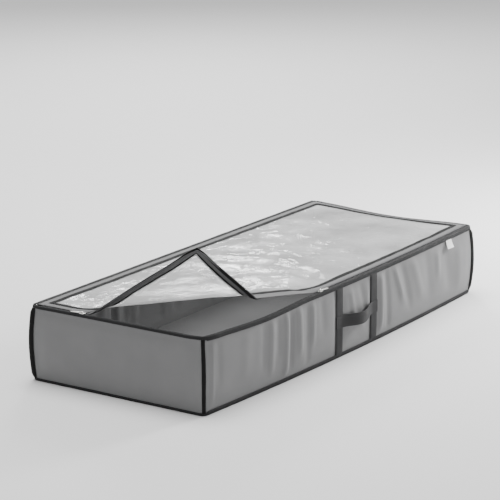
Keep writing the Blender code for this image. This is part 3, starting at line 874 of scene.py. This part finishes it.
joints = {joint["name"]: joint for joint in frame["joints"]}
CREASE_POINT = Vector(joints["lid_flap_lift"]["pos_m"])
LIFT_AXIS = Vector(joints["lid_flap_lift"]["axis"]).normalized()
FOLD_AXIS = Vector(joints["lid_corner_fold"]["axis"]).normalized()
LIFT_ANGLE = -math.radians(joints["lid_flap_lift"]["range_deg"][0])
FOLD_ANGLE = -math.radians(joints["lid_corner_fold"]["range_deg"][0])
LIFT_HALF = 15 * MM
FOLD_HALF = 9 * MM
SPLIT = 11 * MM
TEETH_GAP = 8 * MM
SETTLE_ROUNDS = 12

# Shape of the loose part of the lid: how far its border slopes, its left edge arches and its tip curls
SHOULDER = 10 * MM
CAMBER = 6 * MM
TIP_CURL = 9 * MM
TIP_REACH = 95 * MM


def turned(point, axis, angle):
    return CREASE_POINT + Matrix.Rotation(angle, 3, axis) @ (point - CREASE_POINT)


def toward_corner(axis):
    """The level direction across a crease, pointing to the unzipped corner."""
    across = Vector((0, 0, 1)).cross(axis).normalized()
    corner = Vector((-LENGTH / 2, -WIDTH / 2, CREASE_POINT.z)) - CREASE_POINT
    return across if across.dot(corner) > 0 else -across


def flat_fold_axis():
    """The fold's axis with the lifted strip laid flat again."""
    return Matrix.Rotation(-LIFT_ANGLE, 3, LIFT_AXIS) @ FOLD_AXIS


LIFT_ACROSS = toward_corner(LIFT_AXIS)
FOLD_ACROSS_FLAT = toward_corner(flat_fold_axis())
FOLD_ACROSS = (Matrix.Rotation(FOLD_ANGLE / 2, 3, FOLD_AXIS)
               @ Matrix.Rotation(LIFT_ANGLE, 3, LIFT_AXIS) @ FOLD_ACROSS_FLAT)


def weight(point, across, half):
    return smooth(((point - CREASE_POINT).dot(across) + half) / (2 * half))


def lift(flat):
    """A flat point of the lid as it rests, where the lid turns up into the lifted strip."""
    point = flat
    for _ in range(SETTLE_ROUNDS):
        point = turned(flat, LIFT_AXIS, LIFT_ANGLE * weight(point, LIFT_ACROSS, LIFT_HALF))
    return point


def fold(flat):
    """A flat point of the lid as it rests, where the lifted strip folds into the raised corner."""
    lifted = turned(flat, LIFT_AXIS, LIFT_ANGLE)
    point = lifted
    for _ in range(SETTLE_ROUNDS):
        point = turned(lifted, FOLD_AXIS, FOLD_ANGLE * weight(point, FOLD_ACROSS, FOLD_HALF))
    return point


def cut(shell, across, offset, keep=None, cap=False):
    """Cuts a flat piece along a line parallel to a crease, and may drop one side of it."""
    everything = shell.verts[:] + shell.edges[:] + shell.faces[:]
    made = bmesh.ops.bisect_plane(
        shell, geom=everything, plane_co=CREASE_POINT + across * offset, plane_no=across, dist=1e-7,
        clear_inner=keep == "corner", clear_outer=keep == "lid")
    if cap:
        edges = [g for g in made["geom_cut"] if isinstance(g, bmesh.types.BMEdge)]
        bmesh.ops.holes_fill(shell, edges=edges, sides=0)


def part_of_lid(piece, name, keep, across, half, step, place):
    """One side of the split, cut finely across its crease and moved to where it rests."""
    shell = bmesh.new()
    shell.from_mesh(piece.data)
    cut(shell, FOLD_ACROSS_FLAT, -SPLIT, keep, cap=True)
    if not shell.faces:
        shell.free()
        return None
    steps = math.ceil(1.2 * half / step)
    for index in range(-steps, steps + 1):
        cut(shell, across, index * step)
    for vertex in shell.verts:
        vertex.co = place(vertex.co)
    bmesh.ops.recalc_face_normals(shell, faces=shell.faces)
    mesh = bpy.data.meshes.new(name)
    shell.to_mesh(mesh)
    shell.free()
    for material in piece.data.materials:
        mesh.materials.append(material)
    mesh.shade_smooth()
    mesh.set_sharp_from_angle(angle=math.radians(50))
    made = bpy.data.objects.new(name, mesh)
    bpy.context.scene.collection.objects.link(made)
    return made


def fold_lid(piece, main_nodes=(), corner_nodes=()):
    """Splits a flat, bowed piece of the lid beside the fold, and bends each part across its crease."""
    name = piece.name
    main = part_of_lid(piece, name + "_main", "lid", LIFT_ACROSS, LIFT_HALF, 3 * MM, lift)
    corner = part_of_lid(piece, name + "_corner", "corner", FOLD_ACROSS_FLAT, FOLD_HALF, 2 * MM, fold)
    bpy.data.objects.remove(piece, do_unlink=True)
    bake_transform(main)
    if main_nodes:
        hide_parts(*main_nodes)
    if corner is not None:
        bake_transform(corner)
        if corner_nodes:
            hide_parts(*corner_nodes)
    return main, corner


# Lid pieces, laid out flat


def loose_share(x, y):
    """1 on the unzipped part of the lid, and 0 well away from it."""
    across = (bowed(Vector((x, y, CREASE_POINT.z))) - CREASE_POINT).dot(LIFT_ACROSS)
    return smooth((across + 45 * MM) / (65 * MM))


def lid_height(x, y):
    """The flat lid's level: even at its sewn edge, softly waved and a little crowned inside it."""
    edge = min(LENGTH / 2 - abs(x), WIDTH / 2 - abs(y))
    inside = smooth((edge - 12 * MM) / (70 * MM))
    crown = 5 * MM * (1 - (2 * x / LENGTH) ** 2) * (1 - (2 * y / WIDTH) ** 2)
    wave = 2.6 * MM * ripple(x, y, 0, 130 * MM, 11.3) + 1.6 * MM * ripple(x, y, 0, 48 * MM, 4.4)
    near = smooth((edge - 9 * MM) / (20 * MM)) * 0.8 * MM * ripple(x, y, 0, 34 * MM, 8.8)
    loose = loose_share(x, y)
    shoulder = SHOULDER * loose * smooth((edge - 8 * MM) / (24 * MM))
    side = min(1.0, max(0.0, (y + WIDTH / 2) / (CREASE_POINT.y - Y_SHIFT + WIDTH / 2)))
    arch = CAMBER * math.sin(math.pi * side) * (1 - smooth((x + LENGTH / 2) / (110 * MM)))
    tip = TIP_CURL * (1 - smooth(math.hypot(x + LENGTH / 2, y + WIDTH / 2) / TIP_REACH))
    return LID_LEVEL + inside * (crown + wave) + near + shoulder + arch + tip


def flat_band(name, outer, inner, lift_by, thickness, material, wobble=0.0):
    """A closed band round the lid between two depths, its inner edge a little wavy."""
    rings = []
    for station in STATIONS:
        first, _ = outline(station, outer)
        sway = wobble * ripple(first.x, first.y, 0, 70 * MM, 6.1)
        second, _ = outline(station, inner + sway)
        top, bottom = [], []
        for k in range(5):
            point = first.lerp(second, k / 4)
            level = lid_height(point.x, point.y) + lift_by
            edge = 0.3 * thickness if k in (0, 4) else 0.0
            top.append(Vector((point.x, point.y, level + thickness / 2 - edge)))
            bottom.append(Vector((point.x, point.y, level - thickness / 2 + edge)))
        rings.append([laid(p) for p in top + bottom[::-1]])
    return loft(name, rings, material, closed=True)


def lid_nodes(prefix, kinds):
    return [f"{prefix}_{kind}" for kind in kinds]


def make_film():
    rows = []
    half_x, half_y = LENGTH / 2 - 26 * MM, WIDTH / 2 - 26 * MM
    along, across = 118, 44
    for r in range(across + 1):
        row = []
        for c in range(along + 1):
            x, y = half_x * (2 * c / along - 1), half_y * (2 * r / across - 1)
            row.append((laid(Vector((x, y, lid_height(x, y)))), Vector((0, 0, 1))))
        rows.append(row)
    film = shell_grid("window_film", rows, 0.35 * MM, FILM)
    main, corner = fold_lid(film, ["lid_window", "flap_window"], ["corner_window"])


def make_border():
    band = flat_band("lid_border", 10 * MM, 27 * MM, 0.2 * MM, 1.2 * MM, BORDER)
    main = lid_nodes("lid_border", SIDES) + lid_nodes("flap_border", ("front", "side"))
    fold_lid(band, main, lid_nodes("corner_border", ("front", "side")))


def make_window_binding():
    """The dark tape that holds the film's edge, folded over both of its faces."""
    upper = flat_band("window_tape", 24 * MM, 33 * MM, 1.15 * MM, 0.8 * MM, BLACK_TAPE, 1.6 * MM)
    main = ["lid_window_binding", "flap_window_binding_front", "flap_window_binding_side"]
    fold_lid(upper, main, ["corner_window_binding"])
    lower = flat_band("window_tape_below", 26 * MM, 30 * MM, -0.75 * MM, 0.5 * MM, BLACK_TAPE, 1.6 * MM)
    fold_lid(lower)


def make_dark_edge_strip():
    """A dark strip, in the black tape's colour, laid under the lid's outer edge. It shows where the corner
    is raised.
    """
    strip = flat_band("dark_edge_strip_below", 9.8 * MM, 17 * MM, -0.95 * MM, 0.6 * MM, BLACK_TAPE)
    fold_lid(strip)


def off_the_fold(centre):
    """True away from the fold, where the lid's teeth would turn into the sliders."""
    return abs((laid(centre) - CREASE_POINT).dot(FOLD_ACROSS_FLAT)) > TEETH_GAP


def make_lid_zip():
    rings = []
    for station in ZIP_RUN:
        outer, away = outline(station, 8.6 * MM)
        inner, _ = outline(station, 13.0 * MM)
        middle = (outer + inner) / 2
        middle.z = LID_LEVEL + 1.1 * MM
        rings.append([laid(p) for p in tape_ring(middle, away, Vector((0, 0, 1)), 4.4 * MM, 0.5 * MM)])
    tape = loft("lid_zip_tape", rings, ZIP_TAPE)
    fold_lid(tape)
    row = teeth_row("lid_teeth", 8.7 * MM, 149.0 * MM, laid, off_the_fold)
    fold_lid(row, ["lid_zipper_left", "lid_zipper_right", "flap_zipper"], ["corner_zipper"])


def make_hem():
    """The folded cloth that joins the lid to the back wall."""
    rings = []
    end = LENGTH / 2 - 8 * MM
    for step in range(121):
        x = end * (2 * step / 120 - 1)
        dip = 0.3 * MM * ripple(x, 0, 0, 40 * MM, 3.3)
        middle = Vector((x, WIDTH / 2 - 5.2 * MM, 149.6 * MM + dip))
        ring = tape_ring(middle, Vector((0, 1, 0)), Vector((0, 0, 1)), 8.6 * MM, 1.1 * MM)
        rings.append([bowed(p) for p in ring])
    hem = loft("back_hem", rings, BINDING)
    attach(hem, "lid")
    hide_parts("lid_back_hem")


# Stitching


def stitch(centre, along, across, away, length=2.6 * MM, width=0.55 * MM):
    """One stitch: a short rounded thread that dips into the cloth at both ends."""
    vertices = []
    for share, size, sink in ((-0.5, 0.5, 0.35), (-0.2, 1.0, 0.0), (0.2, 1.0, 0.0), (0.5, 0.5, 0.35)):
        middle = centre + along * (share * length) - away * (sink * width)
        for a, b in ((-0.5, 0), (0, 0.5), (0.5, 0), (0, -0.5)):
            vertices.append(middle + across * (a * width * size) + away * (b * width * size))
    faces = [(0, 1, 2, 3), (12, 13, 14, 15)]
    for base in (0, 4, 8):
        faces += [(base + k, base + (k + 1) % 4, base + 4 + (k + 1) % 4, base + 4 + k) for k in range(4)]
    return vertices, faces


def stitch_row(name, places, pitch=4.2 * MM):
    """A row of stitches along places, each a (point, away) pair already where it lies."""
    vertices, faces, uvs = [], [], []
    lengths = distances([point for point, _ in places])
    spot, index = pitch / 2, 0
    while spot < lengths[-1]:
        while index < len(lengths) - 2 and lengths[index + 1] < spot:
            index += 1
        share = (spot - lengths[index]) / max(1e-9, lengths[index + 1] - lengths[index])
        (first, out), (second, out_next) = places[index], places[index + 1]
        away = out.lerp(out_next, share).normalized()
        along = (second - first).normalized()
        some, their = stitch(first.lerp(second, share), along, away.cross(along).normalized(), away)
        base = len(vertices)
        vertices += some
        for face in their:
            faces.append(tuple(i + base for i in face))
            uvs.append([(some[i].x, some[i].y + some[i].z) for i in face])
        spot += pitch
    return make_piece(name, vertices, faces, uvs, THREAD)


def make_box_stitching():
    rim_level = WALL_TOP - RIM_BAND + 1.4 * MM
    for name, level, fold in (("rim_stitching", rim_level, RIM_CROWN), ("bottom_stitching", 6.9 * MM, 0)):
        places = []
        for station in STATIONS + STATIONS[:1]:
            point, away = outline(station, -0.62 * MM)
            places.append((settled(Vector((point.x, point.y, end_level(level, point.x, fold)))), away))
        row = stitch_row(name, places)
        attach(row, "box")
    for side, sign in LONG_SIDES:
        for place in (-1, 1):
            for edge in (-1, 1):
                centre = HANDLE_CENTRE + place * STRAP_SPACING / 2
                along = edge * (STRAP_WIDTH / 2 - 2.2 * MM)
                places = []
                for step in range(34):
                    z = BOTTOM_BAND + 2 * MM + (WALL_TOP - RIM_BAND - BOTTOM_BAND - 4 * MM) * step / 33
                    point = strap_front(centre, z, sign) + Vector((along, sign * 1.3 * MM, 0))
                    places.append((bowed(point), Vector((0, sign, 0))))
                row = stitch_row(f"strap_stitching_{side}_{'lr'[place > 0]}_{'lr'[edge > 0]}", places)
                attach(row, "box")


def make_lid_stitching():
    rows = (
        ("border_stitching", 11.6 * MM, 1.05 * MM),
        ("window_stitching_outer", 25.4 * MM, 1.75 * MM),
        ("window_stitching_inner", 31.2 * MM, 1.75 * MM),
    )
    for name, depth, rise in rows:
        places = []
        for station in STATIONS + STATIONS[:1]:
            point, _ = outline(station, depth)
            level = lid_height(point.x, point.y) + rise
            places.append((laid(Vector((point.x, point.y, level))), Vector((0, 0, 1))))
        fold_lid(stitch_row(name, places))


def finish_metal():
    """Sliders, tabs and stops keep their CAD shape, with eased edges and a plated finish."""
    for name in ("zip_slider_left", "zip_slider_front", "pull_tab_left", "pull_tab_front",
                 "zipper_stop_left", "zipper_stop_right"):
        node = frame["nodes"][name]
        node.data.materials.clear()
        node.data.materials.append(NICKEL)
        ease = node.modifiers.new("eased_edges", "BEVEL")
        ease.width = 0.18 * MM
        ease.segments = 2
        ease.limit_method = "ANGLE"


make_camera()
make_floor()
make_lights()
make_walls()
make_bottom()
make_rim()
make_bottom_band()
make_corner_bands()
make_straps()
make_grabs()
make_label()
make_box_zip()
make_film()
make_border()
make_window_binding()
make_dark_edge_strip()
make_lid_zip()
make_hem()
make_box_stitching()
make_lid_stitching()
finish_metal()
